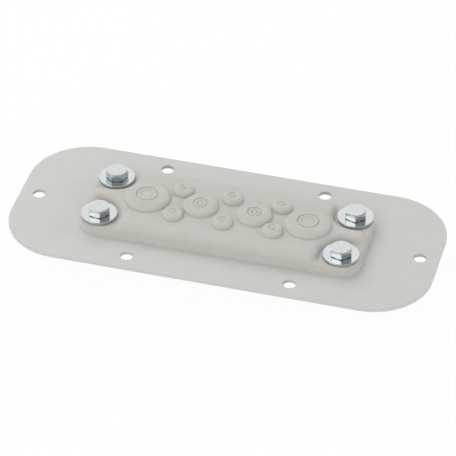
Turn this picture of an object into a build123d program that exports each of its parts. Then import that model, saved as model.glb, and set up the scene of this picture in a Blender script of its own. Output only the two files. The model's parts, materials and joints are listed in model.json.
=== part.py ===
from build123d import *
from math import radians, tan
import os

# Grommet wall plate: a flat sheet plate that carries one moulded cable-entry gland.
# The origin is the centre of the plate's back face, which lies against the wall.
# +Z points out of the wall, X runs along the plate and +Y is its rear long side.

# Plate
plate_length = 212.0
plate_width = 90.0
plate_thickness = 2.0
plate_corner_radius = 30.0
plate_edge_chamfer = 0.3

# Fixing holes in the plate: two near each long side and one near each end
fixing_hole_diameter = 6.4
side_hole_spacing = 81.2
side_hole_to_edge = 8.9
end_hole_to_edge = 9.5

# Screws, washers and nuts, all for a 6 mm thread
thread_diameter = 6.0
thread_clearance = 0.05
thread_past_nut = 4.6
across_flats = 10.0
head_height = 4.0
head_chamfer_radius = 4.75
head_chamfer_angle = 30.0
front_left_head_angle = -7.0
front_right_head_angle = -15.0
rear_left_head_angle = 18.5
rear_right_head_angle = -18.0
nut_height = 5.0
front_washer_diameter = 18.0
back_washer_diameter = 12.0
washer_thickness = 1.6
washer_hole_clearance = 0.2
gland_hole_clearance = 0.25
plate_hole_clearance = 0.3

# Membranes, standing on the gland in one mirrored pattern
large_membrane_offset = 40.6
medium_membrane_offset = 13.6
small_membrane_pitch = 25.0
small_membrane_row = 9.8
large_membrane_radius = 11.5
medium_membrane_radius = 8.8
small_membrane_radius = 5.2
large_ring_radius = 5.3
medium_ring_radius = 3.85
small_ring_radius = 2.35
large_shoulder_chamfer = 1.3
medium_shoulder_chamfer = 1.0
small_shoulder_chamfer = 0.7
membrane_height = 2.8
membrane_shoulder_height = 2.0
membrane_root = 1.0
ring_step = 0.25

# Pockets under the membranes, which leave the thin skin that a cable pierces
pocket_wall = 1.5
skin_thickness = 1.2

# Gland: a low block with a lip round its foot and a lowered seat at each corner
seat_height = 5.2
plateau_rise = 3.2
lip_height = 2.0
lip_width = 0.6
gland_corner_radius = 10.0
side_draft = 5.0
plateau_edge_chamfer = 2.6
seat_edge_chamfer = 1.2
seat_wall_clearance = 1.2
tongue_width = 11.0
tongue_end_flat = 0.6
washer_to_lip = 1.0
washer_past_membrane = 0.35

# Plug under the gland and the cut-out in the plate that it fills
plug_land = 1.5
plug_corner_radius = 6.0
plug_clearance = 0.25
plug_past_back = 1.0
plug_edge_chamfer = 0.5

# Levels above the wall
plate_front = plate_thickness
seat_level = plate_front + seat_height
plateau_level = seat_level + plateau_rise
head_level = seat_level + washer_thickness
back_washer_level = -washer_thickness
nut_level = back_washer_level - nut_height
thread_end_level = nut_level - thread_past_nut

# The wall round each washer leans back, so it is measured at the foot of the block
washer_radius = front_washer_diameter / 2
seat_wall_radius = washer_radius + seat_wall_clearance - seat_height * tan(radians(side_draft))

# The washers lie beside the large membranes, with a tongue of the block between each two
bolt_x = large_membrane_offset + large_membrane_radius - washer_past_membrane + washer_radius
bolt_y = tongue_width / 2 + seat_wall_radius
plateau_corner_radius = (tongue_width - tongue_end_flat) / 2

# The block ends a little past the washers
washer_to_outside = washer_radius + washer_to_lip
gland_length = 2 * (bolt_x + washer_to_outside)
gland_width = 2 * (bolt_y + washer_to_outside)
body_length = gland_length - 2 * lip_width
body_width = gland_width - 2 * lip_width

# The plug reaches a little past the outermost membranes
plug_length = 2 * (large_membrane_offset + large_membrane_radius + plug_land)
plug_width = 2 * (max(small_membrane_row + small_membrane_radius, large_membrane_radius) + plug_land)
cutout_length = plug_length + 2 * plug_clearance
cutout_width = plug_width + 2 * plug_clearance

# Corner places, each with its side along X and along Y and the angle of its screw head
corners = {
    "front_left": (-1, -1, front_left_head_angle),
    "front_right": (1, -1, front_right_head_angle),
    "rear_left": (-1, 1, rear_left_head_angle),
    "rear_right": (1, 1, rear_right_head_angle),
}
bolt_places = [(side_x * bolt_x, side_y * bolt_y) for side_x, side_y, angle in corners.values()]

large_places = [(side * large_membrane_offset, 0) for side in (-1, 1)]
medium_places = [(side * medium_membrane_offset, 0) for side in (-1, 1)]
small_places = [
    (column * small_membrane_pitch, row * small_membrane_row)
    for column in (-1, 0, 1)
    for row in (-1, 1)
]


def plateau_outline(level):
    """Outline of the block at a level, with a round-cornered notch round each washer."""
    inset = (level - plate_front) * tan(radians(side_draft))
    length = body_length - 2 * inset
    width = body_width - 2 * inset
    wall_radius = seat_wall_radius + inset
    notch_length = length / 2 - bolt_x + wall_radius
    notch_width = width / 2 - bolt_y + wall_radius
    with BuildSketch(Plane.XY.offset(level)) as outline:
        Rectangle(length, width)
        with GridLocations(length - notch_length, width - notch_width, 2, 2):
            Rectangle(notch_length, notch_width, mode=Mode.SUBTRACT)
        outer = outline.vertices().filter_by(lambda v: abs(v.X) > bolt_x or abs(v.Y) > bolt_y)
        fillet(outer, radius=plateau_corner_radius - inset)
        inner = outline.vertices().filter_by(lambda v: abs(v.X) < bolt_x and abs(v.Y) < bolt_y)
        fillet(inner, radius=wall_radius)
    return outline.sketch


def membrane(radius, ring_radius, shoulder_chamfer):
    """One raised membrane about the Z axis, its foot a little below the plateau."""
    disc_height = membrane_height - ring_step
    with BuildPart() as dome:
        with BuildSketch(Plane.XZ) as profile:
            with BuildLine():
                Polyline(
                    (0, -membrane_root),
                    (radius, -membrane_root),
                    (radius, membrane_shoulder_height),
                    (ring_radius, membrane_height),
                    (ring_radius, disc_height),
                    (0, disc_height),
                    close=True,
                )
            make_face()
            shoulder = Vector(radius, 0, membrane_shoulder_height)
            chamfer(profile.vertices().sort_by_distance(shoulder)[0], length=shoulder_chamfer)
        revolve(axis=Axis.Z)
    return dome.part


def pocket(radius):
    """The blind hollow under one membrane, open at the back of the plug."""
    roof = membrane_height - ring_step - skin_thickness
    depth = plateau_level + plug_past_back + roof
    with BuildPart() as hollow:
        with BuildSketch(Plane.XY.offset(roof)):
            Circle(radius - pocket_wall)
        extrude(amount=-depth)
    return hollow.part


# Wall plate
with BuildPart() as wall_plate:
    with BuildSketch():
        RectangleRounded(plate_length, plate_width, plate_corner_radius)
        RectangleRounded(
            cutout_length,
            cutout_width,
            plug_corner_radius + plug_clearance,
            mode=Mode.SUBTRACT,
        )
        with GridLocations(side_hole_spacing, plate_width - 2 * side_hole_to_edge, 2, 2):
            Circle(fixing_hole_diameter / 2, mode=Mode.SUBTRACT)
        with GridLocations(plate_length - 2 * end_hole_to_edge, 0, 2, 1):
            Circle(fixing_hole_diameter / 2, mode=Mode.SUBTRACT)
        with Locations(*bolt_places):
            Circle(thread_diameter / 2 + plate_hole_clearance, mode=Mode.SUBTRACT)
    extrude(amount=plate_thickness)
    chamfer(faces().sort_by(Axis.Z)[-1].outer_wire().edges(), length=plate_edge_chamfer)
os.makedirs("parts", exist_ok=True)
wall_plate.part.label = "wall_plate"
export_step(wall_plate.part, "parts/wall_plate.step")

# Gland block with its membranes, seats and plug, one soft moulding
with BuildPart() as gland_block:
    # Body up to the corner seats
    with BuildSketch(Plane.XY.offset(plate_front)):
        RectangleRounded(body_length, body_width, gland_corner_radius - lip_width)
    extrude(amount=seat_height, taper=side_draft)
    chamfer(faces().sort_by(Axis.Z)[-1].edges(), length=seat_edge_chamfer)

    # Body up to the plateau, cut away round each washer
    loft([plateau_outline(plate_front), plateau_outline(plateau_level)], ruled=True)
    chamfer(faces().sort_by(Axis.Z)[-1].edges(), length=plateau_edge_chamfer)

    # Lip round the foot
    with BuildSketch(Plane.XY.offset(plate_front)):
        RectangleRounded(gland_length, gland_width, gland_corner_radius)
    extrude(amount=lip_height, taper=side_draft)

    # Plug through the plate
    with BuildSketch(Plane.XY.offset(-plug_past_back)):
        RectangleRounded(plug_length, plug_width, plug_corner_radius)
    extrude(amount=plug_past_back + plate_front)
    chamfer(faces().sort_by(Axis.Z)[0].edges(), length=plug_edge_chamfer)

    # Membranes and the pockets under them
    for places, radius, ring_radius, shoulder_chamfer in (
        (large_places, large_membrane_radius, large_ring_radius, large_shoulder_chamfer),
        (medium_places, medium_membrane_radius, medium_ring_radius, medium_shoulder_chamfer),
        (small_places, small_membrane_radius, small_ring_radius, small_shoulder_chamfer),
    ):
        with Locations(*[(x, y, plateau_level) for x, y in places]):
            add(membrane(radius, ring_radius, shoulder_chamfer))
            add(pocket(radius), mode=Mode.SUBTRACT)

    # Screw holes through the corner seats
    with BuildSketch(Plane.XY.offset(plate_front)):
        with Locations(*bolt_places):
            Circle(thread_diameter / 2 + gland_hole_clearance)
    extrude(amount=seat_height, mode=Mode.SUBTRACT)
gland_block.part.label = "gland_block"
export_step(gland_block.part, "parts/gland_block.step")

# Fasteners at each corner of the gland
for place, (side_x, side_y, head_angle) in corners.items():
    x = side_x * bolt_x
    y = side_y * bolt_y

    # Large washer on the seat
    with BuildPart() as washer:
        with BuildSketch(Plane(origin=(x, y, seat_level))):
            Circle(washer_radius)
            Circle(thread_diameter / 2 + washer_hole_clearance, mode=Mode.SUBTRACT)
        extrude(amount=washer_thickness)
    washer.part.label = f"washer_{place}"
    export_step(washer.part, f"parts/washer_{place}.step")

    # Hexagon screw: a turned head whose top corners are cut by a cone, and its shank
    head_top = head_level + head_height
    chamfer_depth = (across_flats - head_chamfer_radius) * tan(radians(head_chamfer_angle))
    with BuildPart() as bolt:
        with BuildSketch(Plane(origin=(x, y, head_level))):
            RegularPolygon(across_flats / 2, 6, major_radius=False, rotation=head_angle)
        extrude(amount=head_height)
        with BuildSketch(Plane(origin=(x, y, 0), x_dir=(1, 0, 0), z_dir=(0, -1, 0))):
            with BuildLine():
                Polyline(
                    (head_chamfer_radius, head_top),
                    (across_flats, head_top - chamfer_depth),
                    (across_flats, head_top),
                    close=True,
                )
            make_face()
        revolve(axis=Axis((x, y, 0), (0, 0, 1)), mode=Mode.SUBTRACT)
        with BuildSketch(Plane(origin=(x, y, thread_end_level))):
            Circle(thread_diameter / 2)
        extrude(amount=head_level - thread_end_level)
    bolt.part.label = f"bolt_{place}"
    export_step(bolt.part, f"parts/bolt_{place}.step")

    # Plain washer behind the plate
    with BuildPart() as back_washer:
        with BuildSketch(Plane(origin=(x, y, back_washer_level))):
            Circle(back_washer_diameter / 2)
            Circle(thread_diameter / 2 + washer_hole_clearance, mode=Mode.SUBTRACT)
        extrude(amount=washer_thickness)
    back_washer.part.label = f"back_washer_{place}"
    export_step(back_washer.part, f"parts/back_washer_{place}.step")

    # Hexagon nut
    with BuildPart() as nut:
        with BuildSketch(Plane(origin=(x, y, nut_level))):
            RegularPolygon(across_flats / 2, 6, major_radius=False)
            Circle(thread_diameter / 2 + thread_clearance, mode=Mode.SUBTRACT)
        extrude(amount=nut_height)
    nut.part.label = f"nut_{place}"
    export_step(nut.part, f"parts/nut_{place}.step")
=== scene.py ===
import json
from math import cos, pi, radians, sin, sqrt, tan

import bpy
from mathutils import Matrix, Vector


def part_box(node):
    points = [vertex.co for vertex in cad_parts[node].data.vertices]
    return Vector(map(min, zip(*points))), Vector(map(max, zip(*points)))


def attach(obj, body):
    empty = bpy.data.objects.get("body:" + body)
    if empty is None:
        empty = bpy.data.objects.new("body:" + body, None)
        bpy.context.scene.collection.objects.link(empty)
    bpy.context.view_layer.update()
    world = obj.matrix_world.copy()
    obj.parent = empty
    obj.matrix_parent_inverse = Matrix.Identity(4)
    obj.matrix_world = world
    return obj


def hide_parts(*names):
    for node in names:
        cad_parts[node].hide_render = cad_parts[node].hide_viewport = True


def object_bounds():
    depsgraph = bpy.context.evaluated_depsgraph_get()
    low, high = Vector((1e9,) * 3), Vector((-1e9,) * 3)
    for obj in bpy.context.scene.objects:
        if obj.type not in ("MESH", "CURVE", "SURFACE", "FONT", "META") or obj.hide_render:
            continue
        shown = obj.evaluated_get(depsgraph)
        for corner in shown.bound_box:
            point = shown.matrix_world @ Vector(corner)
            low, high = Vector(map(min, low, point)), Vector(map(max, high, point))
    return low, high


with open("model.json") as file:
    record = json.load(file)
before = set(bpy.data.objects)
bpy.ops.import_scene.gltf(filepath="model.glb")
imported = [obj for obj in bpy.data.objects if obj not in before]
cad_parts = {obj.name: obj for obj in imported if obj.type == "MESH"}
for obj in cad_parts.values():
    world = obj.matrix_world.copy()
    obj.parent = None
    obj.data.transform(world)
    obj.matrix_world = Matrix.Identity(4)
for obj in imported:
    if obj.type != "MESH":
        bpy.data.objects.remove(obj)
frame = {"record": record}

cad_low, cad_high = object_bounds()

# Shapes are written in millimetres, as on a drawing, and become metres in mesh_object.
MM = 0.001

# Photograph's camera, fitted to the plate's outline, its holes and the screw heads. Its distance
# and its shifts to the right and up start at the middle of the plate's front.
camera_azimuth = radians(14.855)
camera_elevation = radians(37.916)
camera_roll = radians(-0.409)
camera_distance = 1508.56
camera_right = 0.387
camera_up = -1.431
camera_lens = 243.26
camera_sensor = 36.0

# Plate
plate_corner_radius = 30.0
plate_edge_round = 0.35
hole_radius = 3.2
hole_edge_break = 0.2
bolt_hole_radius = 3.3
side_hole_x = 40.6
side_hole_y = 36.1
end_hole_x = 96.5
cutout_corner_radius = 6.25
cutout_clearance = 0.25

# Gland
lip_height = 2.0
lip_width = 0.6
lip_edge_round = 0.45
lip_fillet = 0.5
gland_corner_radius = 10.0
side_draft = radians(5.0)
seat_edge_round = 0.8
seat_fillet = 0.9
seat_wall_clearance = 1.2
plateau_rise = 3.2
plateau_edge_round = 4.6
tongue_end_flat = 0.6
gland_hole_radius = 3.25
plug_corner_radius = 6.0
plug_land = 1.5
plug_edge_round = 0.5
pocket_wall = 1.5
pocket_roof = 1.35

# How far the body's walls stand inside the plateau's, so that no two faces coincide, and how
# far a cutting shape reaches past the surface that it opens
body_set_back = 0.02
cut_margin = 1.0

# Membranes: radii of the rim, the ring groove, the centre disc and the fine steps, depths of
# groove and disc below the top, and width of the domed shoulder
membrane_kinds = {
    "large": dict(
        radius=11.5, ring=5.2, ring_depth=0.72, disc=3.0, disc_drop=0.45, shoulder=4.0,
        steps=(7.1, 8.3, 9.5, 10.5),
    ),
    "medium": dict(
        radius=8.8, ring=3.4, ring_depth=0.68, disc=1.2, disc_drop=0.1, shoulder=3.2,
        steps=(5.2, 6.4, 7.6),
    ),
    "small": dict(
        radius=5.2, ring=1.9, ring_depth=0.42, disc=0.5, disc_drop=0.05, shoulder=2.1,
        steps=(3.7,),
    ),
}
membrane_root = 1.0
membrane_height = 2.8
membrane_wall = 0.4
step_height = 0.2
step_width = 0.12
ring_width = 1.0
inner_ring_width = 0.5
inner_ring_rise = 0.15
bead_drop = 0.15

# Sections of the two ring grooves, from the outside in, as shares of their width and depth. The
# first is measured from the middle of its groove, the second from the edge of the disc.
ring_section = ((0.25, 0.8), (0.0, 1.0), (-0.25, 0.8))
inner_ring_section = ((0.7, 0.9), (0.4, 1.0))

# Fasteners
across_flats = 10.0
head_height = 4.0
bearing_face_radius = 4.4
bearing_face_height = 0.36
hex_flat_radius = 4.75
hex_flat_blend = 0.1
hex_chamfer = radians(30.0)
hex_corner_cut = 0.12
hex_edge_round = 0.06
hex_foot_break = 0.15
thread_radius = 3.0
thread_pitch = 1.0
thread_depth = 0.61
thread_tip_radius = 2.3
bore_radius = 3.05
bore_sink = 0.4
washer_die_roll = 0.35
washer_edge_break = 0.08
washer_hole_radius = 3.2

# Corner places, each with the angle of its screw head in degrees. The nuts aren't turned.
head_angles = {
    "front_left": -7.0,
    "front_right": -15.0,
    "rear_left": 18.5,
    "rear_right": -18.0,
}
nut_angle = 0.0

# How finely curved forms are divided, and the angle from which an edge is shaded crisp
circle_steps = 96
washer_steps = 128
corner_steps = 24
notch_steps = 20
edge_steps = 4
die_roll_steps = 8
lip_round_steps = 5
seat_round_steps = 10
plateau_round_steps = 44
dome_steps = 24
hex_side_steps = 12
thread_turn_rows = 12
sharp_angle = radians(32.0)

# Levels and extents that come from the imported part
plate_low, plate_high = (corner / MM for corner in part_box("wall_plate"))
gland_low, gland_high = (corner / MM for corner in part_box("gland_block"))
plate_front = plate_high.z
gland_length = gland_high.x - gland_low.x
gland_width = gland_high.y - gland_low.y


def levels_of(node):
    """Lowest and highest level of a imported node, in millimetres."""
    low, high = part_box(node)
    return low.z / MM, high.z / MM


def centre_of(node):
    """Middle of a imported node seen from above, in millimetres."""
    low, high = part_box(node)
    return (low.x + high.x) / 2 / MM, (low.y + high.y) / 2 / MM


def radius_of(node):
    """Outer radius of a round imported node, in millimetres."""
    low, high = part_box(node)
    return (high.x - low.x) / 2 / MM


seat_level = levels_of("washer_front_left")[0]
plateau_level = seat_level + plateau_rise
bolt_places = {place: centre_of(f"washer_{place}") for place in head_angles}
bolt_x, bolt_y = (abs(value) for value in bolt_places["front_left"])

# Wall round each washer, at the foot of the block, and the corners where it runs out
seat_wall_lean = (seat_level - plate_front) * tan(side_draft)
seat_wall_radius = radius_of("washer_front_left") + seat_wall_clearance - seat_wall_lean
plateau_corner_radius = bolt_y - seat_wall_radius - tongue_end_flat / 2


def membrane_places():
    """Kind and centre of each membrane, from the boxes of the openings behind them."""
    found = []
    for opening in frame["record"]["physics"]["openings"]:
        low, high = opening["box_m"]
        centre = [(a + b) / 2 / MM for a, b in zip(low, high)]
        found.append((opening["name"].split("_")[0], centre[0], centre[1]))
    return found


# Shapes, each a pair of lists: points in millimetres and faces as point numbers

# Signs of x and y in the four quarters, counter-clockwise from the first
quarters = ((1, 1), (-1, 1), (-1, -1), (1, -1))


def stack(rings, closed=False):
    """Shape through rings of equally many points, capped at both ends or closed on itself."""
    count = len(rings[0])
    points = [point for ring in rings for point in ring]
    faces = []
    last = len(rings) if closed else len(rings) - 1
    for row in range(last):
        start = row * count
        above = (row + 1) % len(rings) * count
        for column in range(count):
            side = (column + 1) % count
            faces.append((start + column, start + side, above + side, above + column))
    if not closed:
        faces.append(tuple(reversed(range(count))))
        faces.append(tuple(range(len(points) - count, len(points))))
    return points, faces


def circle(x, y, radius, z, count):
    """Ring of points round a vertical axis."""
    return [
        (x + radius * cos(2 * pi * i / count), y + radius * sin(2 * pi * i / count), z)
        for i in range(count)
    ]


def lathe(x, y, profile, closed=False, count=circle_steps):
    """Shape turned about a vertical axis from a profile of radius and height, upwards outside."""
    return stack([circle(x, y, radius, z, count) for radius, z in profile], closed)


def rounded_outline(length, width, radius, z):
    """Ring round a rectangle with rounded corners, about the origin."""
    points = []
    for turn, (side_x, side_y) in enumerate(quarters):
        x = side_x * (length / 2 - radius)
        y = side_y * (width / 2 - radius)
        for i in range(corner_steps + 1):
            angle = pi / 2 * (turn + i / corner_steps)
            points.append((x + radius * cos(angle), y + radius * sin(angle), z))
    return points


def notched_outline(inset, z):
    """Ring round the plateau at an inset, with a round-cornered notch round each washer."""
    half_length = gland_length / 2 - lip_width - inset
    half_width = gland_width / 2 - lip_width - inset
    above_seat = min(max(z - seat_level, 0.0), seat_fillet)
    flare = seat_fillet - sqrt(seat_fillet ** 2 - (seat_fillet - above_seat) ** 2)
    wall = seat_wall_radius + inset - flare
    corner = plateau_corner_radius - inset
    notch_x = bolt_x - wall
    notch_y = bolt_y - wall
    quarter = []
    for x, y, radius, start, turn in (
        (half_length - corner, notch_y - corner, corner, 0, 1),
        (notch_x + wall, notch_y + wall, wall, 3 * pi / 2, -1),
        (notch_x - corner, half_width - corner, corner, 0, 1),
    ):
        for i in range(notch_steps + 1):
            angle = start + turn * pi / 2 * i / notch_steps
            quarter.append((x + radius * cos(angle), y + radius * sin(angle)))
    points = []
    for side_x, side_y in quarters:
        part = [(side_x * x, side_y * y, z) for x, y in quarter]
        points += part if side_x * side_y > 0 else part[::-1]
    return points


def drafted_profile(top, radius, steps):
    """Insets and levels from the plate up a leaning wall and over its rounded top edge."""
    centre_z = top - radius
    lean = (centre_z + radius * sin(side_draft) - plate_front) * tan(side_draft)
    centre_inset = lean + radius * cos(side_draft)
    profile = [(0.0, plate_front)]
    for i in range(steps + 1):
        angle = side_draft + (pi / 2 - side_draft) * i / steps
        profile.append((centre_inset - radius * cos(angle), centre_z + radius * sin(angle)))
    return profile


def edge_arc(steps, radius):
    """Inset and drop of points over a quarter-round edge, from its side to its flat."""
    for i in range(steps + 1):
        angle = pi / 2 * i / steps
        yield radius * (1 - cos(angle)), radius * (1 - sin(angle))


def rounded_block(length, width, radius, profile):
    """Block with rounded corners in plan, through a profile of insets and levels."""
    return stack([
        rounded_outline(length - 2 * inset, width - 2 * inset, radius - inset, z)
        for inset, z in profile
    ])


def slab(length, width, radius, low, high, edge):
    """Flat slab with rounded corners in plan and rounded edges."""
    profile = [(inset, low + drop) for inset, drop in edge_arc(edge_steps, edge)][::-1]
    profile += [(inset, high - drop) for inset, drop in edge_arc(edge_steps, edge)]
    return rounded_block(length, width, radius, profile)


def mesh_object(name, shapes):
    """Blender object in metres from one or more closed shapes."""
    points, faces = [], []
    for shape_points, shape_faces in shapes:
        start = len(points)
        points += [tuple(value * MM for value in point) for point in shape_points]
        faces += [tuple(start + i for i in face) for face in shape_faces]
    mesh = bpy.data.meshes.new(name)
    mesh.from_pydata(points, [], faces)
    mesh.validate()
    piece = bpy.data.objects.new(name, mesh)
    bpy.context.scene.collection.objects.link(piece)
    return piece


def combine(piece, shapes, operation):
    """Joins shapes to a piece, or cuts them out of it, as one closed mesh."""
    tool = mesh_object("tool", shapes)
    modifier = piece.modifiers.new("combine", "BOOLEAN")
    modifier.operation = operation
    modifier.solver = "MANIFOLD"
    modifier.object = tool
    bpy.context.view_layer.update()
    evaluated = piece.evaluated_get(bpy.context.evaluated_depsgraph_get())
    mesh = bpy.data.meshes.new_from_object(evaluated)
    piece.modifiers.clear()
    old = piece.data
    piece.data = mesh
    bpy.data.meshes.remove(old)
    bpy.data.objects.remove(tool)
    mesh.name = piece.name


def finish_piece(piece, material, node):
    """Smooth shading with crisp edges, a material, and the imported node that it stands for."""
    piece.data.materials.clear()
    piece.data.materials.append(material)
    piece.data.shade_smooth()
    piece.data.set_sharp_from_angle(angle=sharp_angle)
    normals = piece.modifiers.new("normals", "WEIGHTED_NORMAL")
    normals.keep_sharp = True
    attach(piece, "root")
    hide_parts(node)


# Materials

# Range that most of a noise texture lies in
noise_low = 0.3
noise_high = 0.7


def new_material(name, color, roughness, metallic=0.0):
    """Principled material with its tree, its shader and its coordinates in metres."""
    material = bpy.data.materials.new(name)
    material.use_nodes = True
    tree = material.node_tree
    shader = tree.nodes["Principled BSDF"]
    shader.inputs["Base Color"].default_value = (*color, 1.0)
    shader.inputs["Roughness"].default_value = roughness
    shader.inputs["Metallic"].default_value = metallic
    coordinates = tree.nodes.new("ShaderNodeTexCoord")
    return material, tree, shader, coordinates


def noise(tree, position, feature_size, detail=3.0, stretch=(1, 1, 1)):
    """Noise whose features are about feature_size millimetres across."""
    mapping = tree.nodes.new("ShaderNodeMapping")
    mapping.inputs["Scale"].default_value = stretch
    tree.links.new(position, mapping.inputs["Vector"])
    texture = tree.nodes.new("ShaderNodeTexNoise")
    texture.inputs["Scale"].default_value = 1 / (feature_size * MM)
    texture.inputs["Detail"].default_value = detail
    tree.links.new(mapping.outputs["Vector"], texture.inputs["Vector"])
    return texture.outputs["Fac"]


def remap(tree, value, from_low, from_high, low, high):
    """Value mapped from one range to another, and held inside it."""
    node = tree.nodes.new("ShaderNodeMapRange")
    node.inputs["From Min"].default_value = from_low
    node.inputs["From Max"].default_value = from_high
    node.inputs["To Min"].default_value = low
    node.inputs["To Max"].default_value = high
    tree.links.new(value, node.inputs["Value"])
    return node.outputs["Result"]


def spread(tree, value, low, high):
    """Noise spread from low to high about its middle."""
    return remap(tree, value, noise_low, noise_high, low, high)


def blend_colors(tree, factor, dark, light):
    """Colour between two tints, each a colour or another node's output."""
    node = tree.nodes.new("ShaderNodeMix")
    node.data_type = "RGBA"
    tree.links.new(factor, node.inputs["Factor"])
    for color, name in ((dark, "A"), (light, "B")):
        if isinstance(color, tuple):
            node.inputs[name].default_value = (*color, 1.0)
        else:
            tree.links.new(color, node.inputs[name])
    return node.outputs["Result"]


def mottle(tree, position, feature_size, dark, light):
    """Colour that wanders between two tints, in patches of about feature_size millimetres."""
    patches = spread(tree, noise(tree, position, feature_size), 0, 1)
    return blend_colors(tree, patches, dark, light)


def bump(tree, shader, height, depth):
    """Fine relief, depth millimetres high."""
    node = tree.nodes.new("ShaderNodeBump")
    node.inputs["Distance"].default_value = depth * MM
    tree.links.new(height, node.inputs["Height"])
    tree.links.new(node.outputs["Normal"], shader.inputs["Normal"])


def coat_material():
    """Pale grey powder coat: fine orange peel and a very slight mottle."""
    material, tree, shader, coordinates = new_material(
        "plate_coat", color=(0.60, 0.60, 0.575), roughness=0.45
    )
    position = coordinates.outputs["Object"]
    color = mottle(
        tree, position, feature_size=9.0,
        dark=(0.592, 0.592, 0.566), light=(0.608, 0.608, 0.583),
    )
    tree.links.new(color, shader.inputs["Base Color"])
    peel = noise(tree, position, feature_size=0.9, detail=2.0)
    tree.links.new(spread(tree, peel, low=0.40, high=0.50), shader.inputs["Roughness"])
    bump(tree, shader, peel, depth=0.02)
    return material


def rubber_material():
    """Warm grey soft moulding: matt, with a fine moulded grain."""
    material, tree, shader, coordinates = new_material(
        "gland_rubber", color=(0.56, 0.553, 0.512), roughness=0.7
    )
    position = coordinates.outputs["Object"]
    color = mottle(
        tree, position, feature_size=5.0,
        dark=(0.55, 0.543, 0.502), light=(0.57, 0.563, 0.522),
    )
    tree.links.new(color, shader.inputs["Base Color"])
    grain = noise(tree, position, feature_size=0.45, detail=4.0)
    tree.links.new(spread(tree, grain, low=0.62, high=0.78), shader.inputs["Roughness"])
    bump(tree, shader, grain, depth=0.03)
    return material


def bolt_material():
    """Bright zinc plate on drawn steel, with fine level streaks round the head."""
    material, tree, shader, coordinates = new_material(
        "zinc_bolt", color=(0.78, 0.82, 0.82), roughness=0.16, metallic=1.0
    )
    position = coordinates.outputs["Object"]
    color = mottle(
        tree, position, feature_size=1.6,
        dark=(0.72, 0.76, 0.76), light=(0.82, 0.86, 0.86),
    )
    tree.links.new(color, shader.inputs["Base Color"])
    streaks = noise(tree, position, feature_size=0.4, stretch=(0.2, 0.2, 1))
    tree.links.new(spread(tree, streaks, low=0.11, high=0.22), shader.inputs["Roughness"])
    bump(tree, shader, streaks, depth=0.008)
    return material


def washer_material():
    """Bright zinc plate, smooth on the faces and dull on the sheared edge. Its colour is painted
    dark where the surface faces sideways, as painted shade on the rim.
    """
    material, tree, shader, coordinates = new_material(
        "zinc_washer", color=(0.79, 0.83, 0.84), roughness=0.12, metallic=1.0
    )
    position = coordinates.outputs["Object"]
    split = tree.nodes.new("ShaderNodeSeparateXYZ")
    tree.links.new(coordinates.outputs["Normal"], split.inputs["Vector"])
    upward = tree.nodes.new("ShaderNodeMath")
    upward.operation = "ABSOLUTE"
    tree.links.new(split.outputs["Z"], upward.inputs[0])
    # From the sheared edge to a face, by how far the surface looks up or down. This sets both the
    # real dullness of the edge and the painted shade on it.
    edge_to_face = (0.25, 0.75)
    face = remap(tree, upward.outputs["Value"], *edge_to_face, low=0, high=1)
    bright = mottle(
        tree, position, feature_size=3.0,
        dark=(0.77, 0.81, 0.825), light=(0.81, 0.85, 0.86),
    )
    # Painted shade: the sideways-facing rim is painted dark grey, standing in for the shade that
    # falls on the washer's edge. The dull sheared edge itself is only in the roughness.
    color = blend_colors(tree, face, (0.46, 0.47, 0.47), bright)
    tree.links.new(color, shader.inputs["Base Color"])
    scuffs = noise(tree, position, feature_size=0.7, detail=4.0)
    roughness = remap(tree, upward.outputs["Value"], *edge_to_face, low=0.34, high=0.13)
    tree.links.new(roughness, shader.inputs["Roughness"])
    bump(tree, shader, scuffs, depth=0.003)
    return material


# Pieces

def plate():
    """Sheet plate with rounded edges, deburred holes and the cut-out for the plug."""
    length = plate_high.x - plate_low.x
    width = plate_high.y - plate_low.y
    piece = mesh_object("plate", [
        slab(length, width, plate_corner_radius, plate_low.z, plate_front, plate_edge_round)
    ])
    holes = [(x * side_hole_x, y * side_hole_y, hole_radius) for x in (-1, 1) for y in (-1, 1)]
    holes += [(x * end_hole_x, 0, hole_radius) for x in (-1, 1)]
    holes += [(x, y, bolt_hole_radius) for x, y in bolt_places.values()]
    cuts = []
    for x, y, radius in holes:
        # The cones that break the edges go on at 45 degrees, past the faces of the sheet
        flare = radius + 2 * hole_edge_break
        cuts.append(lathe(x, y, [
            (flare, plate_low.z - hole_edge_break),
            (radius, plate_low.z + hole_edge_break),
            (radius, plate_front - hole_edge_break),
            (flare, plate_front + hole_edge_break),
        ]))
    length, width = (size + 2 * cutout_clearance for size in plug_size())
    cuts.append(rounded_block(length, width, cutout_corner_radius, [
        (0, plate_low.z - cut_margin),
        (0, plate_front + cut_margin),
    ]))
    combine(piece, cuts, "DIFFERENCE")
    finish_piece(piece, coat_material(), "wall_plate")


def plug_size():
    """Length and width of the plug, which reaches a little past the outermost membranes."""
    reach_x = max(abs(x) + membrane_kinds[kind]["radius"] for kind, x, y in membrane_places())
    reach_y = max(abs(y) + membrane_kinds[kind]["radius"] for kind, x, y in membrane_places())
    return 2 * (reach_x + plug_land), 2 * (reach_y + plug_land)


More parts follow.
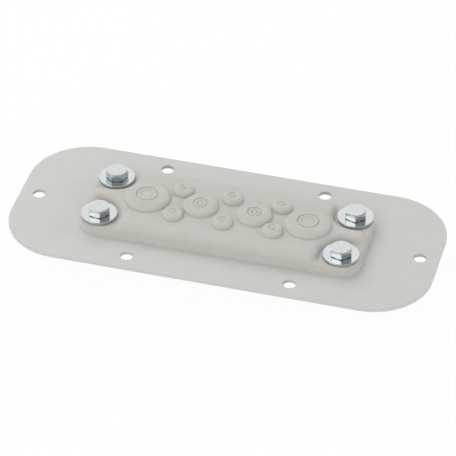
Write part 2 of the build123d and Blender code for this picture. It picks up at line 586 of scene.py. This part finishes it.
def membrane_profile(radius, ring, ring_depth, disc, disc_drop, shoulder, steps):
    """Radius and height over one membrane, from its foot in to its centre disc."""
    dome_height = membrane_height - membrane_wall
    inner_ring_depth = ring_depth - inner_ring_rise

    def dome_level(at):
        """Height of the smooth dome, a quarter ellipse that ends upright at the wall."""
        reach = min(1.0, max(0.0, (at - radius + shoulder) / shoulder))
        return membrane_wall + dome_height * sqrt(1 - reach * reach)

    def stepped_level(at):
        """Height with the fine steps, each sunk at its inner end and on the dome outside."""
        edges = [step for step in steps if step < at]
        if not edges:
            return dome_level(at)
        inner = edges[-1]
        outer = min([step for step in steps if step >= at], default=radius)
        return dome_level(at) - step_height * (outer - at) / (outer - inner)

    places = [
        radius - shoulder * (1 - cos(pi / 2 * i / dome_steps))
        for i in range(dome_steps + 1)
    ]
    places += [step + side * step_width / 2 for step in steps for side in (-1, 1)]
    ring_edge = ring + ring_width / 2
    profile = [(radius, -membrane_root)]
    profile += [(at, stepped_level(at)) for at in sorted(places, reverse=True) if at > ring_edge]
    profile += [(ring_edge, membrane_height)]
    profile += [
        (ring + ring_width * across, membrane_height - ring_depth * down)
        for across, down in ring_section
    ]
    bead_outer = ring - ring_width / 2
    bead_inner = disc + inner_ring_width
    bead_middle = (bead_outer + bead_inner) / 2
    # The bead between the grooves is a parabola, which halfway out has dropped by a quarter
    profile += [
        (bead_outer, membrane_height - bead_drop),
        ((bead_outer + bead_middle) / 2, membrane_height - bead_drop / 4),
        (bead_middle, membrane_height),
        ((bead_middle + bead_inner) / 2, membrane_height - bead_drop / 4),
        (bead_inner, membrane_height - bead_drop),
    ]
    profile += [
        (disc + inner_ring_width * across, membrane_height - inner_ring_depth * down)
        for across, down in inner_ring_section
    ]
    profile += [(disc, membrane_height - disc_drop)]
    return profile


def gland():
    """Soft moulding: lip, body, plateau, plug, membranes, and the hollows behind them."""
    lip_top = plate_front + lip_height
    lip_profile = drafted_profile(lip_top, lip_edge_round, lip_round_steps)
    wall_lean = (lip_height + lip_fillet) * tan(side_draft)
    lip_profile.append((lip_width + body_set_back + wall_lean, lip_top + lip_fillet))
    lip = rounded_block(gland_length, gland_width, gland_corner_radius, lip_profile)
    body_length = gland_length - 2 * lip_width
    body_width = gland_width - 2 * lip_width
    body = stack([
        rounded_outline(
            body_length - 2 * (inset + body_set_back),
            body_width - 2 * (inset + body_set_back),
            gland_corner_radius - lip_width - inset,
            z,
        )
        for inset, z in drafted_profile(seat_level, seat_edge_round, seat_round_steps)
    ])
    plateau = stack([
        notched_outline(inset, z)
        for inset, z in drafted_profile(plateau_level, plateau_edge_round, plateau_round_steps)
    ])
    length, width = plug_size()
    plug_top = plate_front + lip_height / 2
    plug = slab(length, width, plug_corner_radius, gland_low.z, plug_top, plug_edge_round)
    domes = []
    hollows = [
        lathe(x, y, [
            (gland_hole_radius, plate_front - cut_margin),
            (gland_hole_radius, seat_level + cut_margin),
        ])
        for x, y in bolt_places.values()
    ]
    for kind, x, y in membrane_places():
        profile = membrane_profile(**membrane_kinds[kind])
        domes.append(lathe(x, y, [(radius, plateau_level + z) for radius, z in profile]))
        pocket_radius = membrane_kinds[kind]["radius"] - pocket_wall
        hollows.append(lathe(x, y, [
            (pocket_radius, gland_low.z - cut_margin),
            (pocket_radius, plateau_level + pocket_roof),
        ]))
    piece = mesh_object("gland", [lip])
    for shape in (body, plateau, plug):
        combine(piece, [shape], "UNION")
    combine(piece, domes, "UNION")
    combine(piece, hollows, "DIFFERENCE")
    finish_piece(piece, rubber_material(), "gland_block")


def hexagon(x, y, angle, at):
    """Ring round a hexagon. at gives radius and height from the radius of the hexagon there."""
    ring = []
    corner = across_flats / 2 / cos(pi / 6) - hex_corner_cut
    for side in range(6):
        for i in range(hex_side_steps):
            offset = -pi / 6 + pi / 3 * i / hex_side_steps
            reach = min(across_flats / 2 / cos(offset), corner)
            turn = radians(angle) + pi / 6 + pi / 3 * side + offset
            radius, z = at(reach)
            ring.append((x + radius * cos(turn), y + radius * sin(turn), z))
    return ring


def cone_drop(radius):
    """How far the chamfer of a hexagon lies below its flat at a radius."""
    return (radius - hex_flat_radius) * tan(hex_chamfer)


def bolt(place, material):
    """Hexagon screw with a chamfered head, a bearing face and a threaded end."""
    x, y = bolt_places[place]
    angle = head_angles[place]
    tip, top = levels_of(f"bolt_{place}")
    head = top - head_height
    foot = head + bearing_face_height
    thread_end = levels_of(f"nut_{place}")[0] + thread_pitch / 2

    def round_ring(radius, z):
        return hexagon(x, y, angle, lambda reach: (radius, z))

    def hex_ring(inset, z):
        return hexagon(x, y, angle, lambda reach: (reach - inset, z))

    def thread_ring(z):
        """Ring through the triangular thread and its cone at the tip."""
        ring = []
        count = 6 * hex_side_steps
        for i in range(count):
            phase = (z / thread_pitch - i / count) % 1
            radius = thread_radius - thread_depth * (1 - abs(2 * phase - 1))
            radius = min(radius, thread_tip_radius + (z - tip))
            turn = radians(angle) + 2 * pi * i / count
            ring.append((x + radius * cos(turn), y + radius * sin(turn), z))
        return ring

    rows = int((thread_end - tip) / thread_pitch * thread_turn_rows)
    rings = [thread_ring(tip + (thread_end - tip) * i / rows) for i in range(rows)]
    rings += [
        round_ring(thread_radius, thread_end),
        round_ring(thread_radius, head),
        round_ring(bearing_face_radius, head),
        round_ring(bearing_face_radius, foot),
        hex_ring(hex_foot_break, foot),
        hex_ring(0, foot + hex_foot_break),
        hexagon(x, y, angle, lambda reach: (reach, top - cone_drop(reach) - hex_edge_round)),
        hexagon(x, y, angle, lambda reach: (
            reach - hex_edge_round,
            top - cone_drop(reach - hex_edge_round),
        )),
        round_ring(
            hex_flat_radius + hex_flat_blend,
            top - cone_drop(hex_flat_radius + hex_flat_blend),
        ),
        round_ring(hex_flat_radius - hex_flat_blend, top),
    ]
    piece = mesh_object(f"screw_{place}", [stack(rings)])
    finish_piece(piece, material, f"bolt_{place}")


def nut(place, material):
    """Hexagon nut, chamfered on both faces, with a countersunk bore."""
    x, y = bolt_places[place]
    low, high = levels_of(f"nut_{place}")

    def round_ring(radius, z):
        return hexagon(x, y, nut_angle, lambda reach: (radius, z))

    rings = [
        round_ring(bore_radius, low + bore_sink),
        round_ring(bore_radius + bore_sink, low),
        round_ring(hex_flat_radius, low),
        hexagon(x, y, nut_angle, lambda reach: (reach, low + cone_drop(reach))),
        hexagon(x, y, nut_angle, lambda reach: (reach, high - cone_drop(reach))),
        round_ring(hex_flat_radius, high),
        round_ring(bore_radius + bore_sink, high),
        round_ring(bore_radius, high - bore_sink),
    ]
    piece = mesh_object(f"hex_nut_{place}", [stack(rings, closed=True)])
    finish_piece(piece, material, f"nut_{place}")


def washer(node, name, material):
    """Punched washer: rolled over at its upper outer edge, with the other edges just broken."""
    x, y = centre_of(node)
    low, high = levels_of(node)
    profile = []
    for edge, side, top_round in (
        (radius_of(node), 1, washer_die_roll),
        (washer_hole_radius, -1, washer_edge_break),
    ):
        upward = [
            (edge - side * inset, low + rise)
            for inset, rise in edge_arc(edge_steps, washer_edge_break)
        ]
        upward.reverse()
        upward += [
            (edge - side * inset, high - drop)
            for inset, drop in edge_arc(die_roll_steps, top_round)
        ]
        profile += upward if side > 0 else upward[::-1]
    piece = mesh_object(name, [lathe(x, y, profile, closed=True, count=washer_steps)])
    finish_piece(piece, material, node)


plate()
gland()
bolt_zinc = bolt_material()
washer_zinc = washer_material()
for place in head_angles:
    bolt(place, bolt_zinc)
    nut(place, bolt_zinc)
    washer(f"washer_{place}", f"front_ring_{place}", washer_zinc)
    washer(f"back_washer_{place}", f"back_ring_{place}", washer_zinc)


# Studio, with its lengths in metres

# Brightness of the world: it rises from the front to the back, where a direction's Y reaches
# sky_back_y, and the brightness overhead and at the horizon takes over between two elevations
sky_front = 0.26
sky_back = 0.46
sky_back_y = 0.8
sky_overhead = 0.6
overhead_start, overhead_full = radians(62.0), radians(78.0)
sky_horizon = 1.0
horizon_full, horizon_end = radians(8.0), radians(24.0)

# Bearing, elevation, distance, width, height and radiance of each light, and whether glossy
# surfaces mirror it. The angles are in degrees.
softboxes = {
    "key": (142, 50, 1.4, 1.1, 1.1, 1.76, False),
    "back": (116, 40, 1.6, 2.2, 1.05, 0.42, True),
    "left": (172, 44, 1.6, 1.6, 1.3, 0.32, True),
    "front_left": (-130, 40, 1.5, 0.9, 0.9, 1.02, True),
    "fill": (-80, 30, 1.6, 1.4, 1.2, 1.5, False),
    "right": (22, 20, 1.6, 1.2, 1.0, 1.5, False),
}

# Half the floor's side, its level, its colour, and the share of white that a camera sees on it
floor_reach = 20.0
floor_level = cad_low.z
floor_color = (0.85, 0.85, 0.84)
floor_white_share = 0.965

camera_clip_start = 0.1
camera_clip_end = 100.0


def direction(bearing, elevation):
    """Unit vector towards a bearing, counter-clockwise from +X, and an elevation."""
    flat = cos(radians(elevation))
    return Vector((
        flat * cos(radians(bearing)),
        flat * sin(radians(bearing)),
        sin(radians(elevation)),
    ))


def softbox(name, bearing, elevation, distance, width, height, radiance, in_reflections):
    """Soft rectangular light that faces the object, as bright as radiance says."""
    light = bpy.data.lights.new(name, "AREA")
    light.shape = "RECTANGLE"
    light.size = width
    light.size_y = height
    light.energy = radiance * pi * width * height
    lamp = bpy.data.objects.new(name, light)
    bpy.context.scene.collection.objects.link(lamp)
    towards = direction(bearing, elevation)
    lamp.location = towards * distance
    lamp.rotation_mode = "QUATERNION"
    lamp.rotation_quaternion = towards.to_track_quat("Z", "Y")
    lamp.visible_glossy = in_reflections


def studio_world():
    """Grey surroundings, lighter at the back and overhead, that turn white at the horizon."""
    world = bpy.data.worlds.new("studio")
    bpy.context.scene.world = world
    world.use_nodes = True
    tree = world.node_tree
    background = tree.nodes["Background"]
    background.inputs["Color"].default_value = (1, 1, 1, 1)
    coordinates = tree.nodes.new("ShaderNodeTexCoord")
    split = tree.nodes.new("ShaderNodeSeparateXYZ")
    tree.links.new(coordinates.outputs["Generated"], split.inputs["Vector"])
    level = remap(tree, split.outputs["Y"], 0.0, sky_back_y, sky_front, sky_back)
    height = split.outputs["Z"]
    upper = remap(tree, height, sin(overhead_start), sin(overhead_full), 0, 1)
    lower = remap(tree, height, sin(horizon_full), sin(horizon_end), 1, 0)
    for share, brightness in ((upper, sky_overhead), (lower, sky_horizon)):
        node = tree.nodes.new("ShaderNodeMix")
        tree.links.new(share, node.inputs["Factor"])
        tree.links.new(level, node.inputs["A"])
        node.inputs["B"].default_value = brightness
        level = node.outputs["Result"]
    tree.links.new(level, background.inputs["Strength"])


def studio_floor():
    """White floor under the screw tips: white to the camera, with a faint shadow."""
    mesh = bpy.data.meshes.new("floor")
    corners = ((-1, -1), (1, -1), (1, 1), (-1, 1))
    mesh.from_pydata(
        [(x * floor_reach, y * floor_reach, floor_level) for x, y in corners],
        [],
        [(0, 1, 2, 3)],
    )
    floor = bpy.data.objects.new("floor", mesh)
    bpy.context.scene.collection.objects.link(floor)
    material = bpy.data.materials.new("floor")
    material.use_nodes = True
    tree = material.node_tree
    tree.nodes.clear()
    output = tree.nodes.new("ShaderNodeOutputMaterial")
    diffuse = tree.nodes.new("ShaderNodeBsdfDiffuse")
    diffuse.inputs["Color"].default_value = (*floor_color, 1)
    white = tree.nodes.new("ShaderNodeEmission")
    path = tree.nodes.new("ShaderNodeLightPath")
    seen = path.outputs["Is Camera Ray"]
    for name in ("Is Glossy Ray", "Is Transmission Ray"):
        larger = tree.nodes.new("ShaderNodeMath")
        larger.operation = "MAXIMUM"
        tree.links.new(seen, larger.inputs[0])
        tree.links.new(path.outputs[name], larger.inputs[1])
        seen = larger.outputs["Value"]
    share = tree.nodes.new("ShaderNodeMath")
    share.operation = "MULTIPLY"
    share.inputs[1].default_value = floor_white_share
    tree.links.new(seen, share.inputs[0])
    mix = tree.nodes.new("ShaderNodeMixShader")
    tree.links.new(share.outputs["Value"], mix.inputs["Fac"])
    tree.links.new(diffuse.outputs["BSDF"], mix.inputs[1])
    tree.links.new(white.outputs["Emission"], mix.inputs[2])
    tree.links.new(mix.outputs["Shader"], output.inputs["Surface"])
    mesh.materials.append(material)


def photograph_camera():
    """Camera at the photograph's place, aimed past the middle of the plate's front."""
    right = Vector((cos(camera_azimuth), sin(camera_azimuth), 0))
    back = Vector((
        sin(camera_azimuth) * cos(camera_elevation),
        -cos(camera_azimuth) * cos(camera_elevation),
        sin(camera_elevation),
    ))
    up = back.cross(right)
    across = right * cos(camera_roll) - up * sin(camera_roll)
    upright = right * sin(camera_roll) + up * cos(camera_roll)
    data = bpy.data.cameras.new("camera")
    data.sensor_width = camera_sensor
    data.lens = camera_lens
    data.clip_start = camera_clip_start
    data.clip_end = camera_clip_end
    camera = bpy.data.objects.new("camera", data)
    bpy.context.scene.collection.objects.link(camera)
    place = across * camera_right + upright * camera_up + back * camera_distance
    place.z += plate_front
    turn = Matrix((across, upright, back)).transposed().to_4x4()
    camera.matrix_world = Matrix.Translation(place * MM) @ turn
    bpy.context.scene.camera = camera


studio_world()
studio_floor()
for name, values in softboxes.items():
    softbox(name, *values)
photograph_camera()
bpy.context.scene.view_settings.view_transform = "Standard"
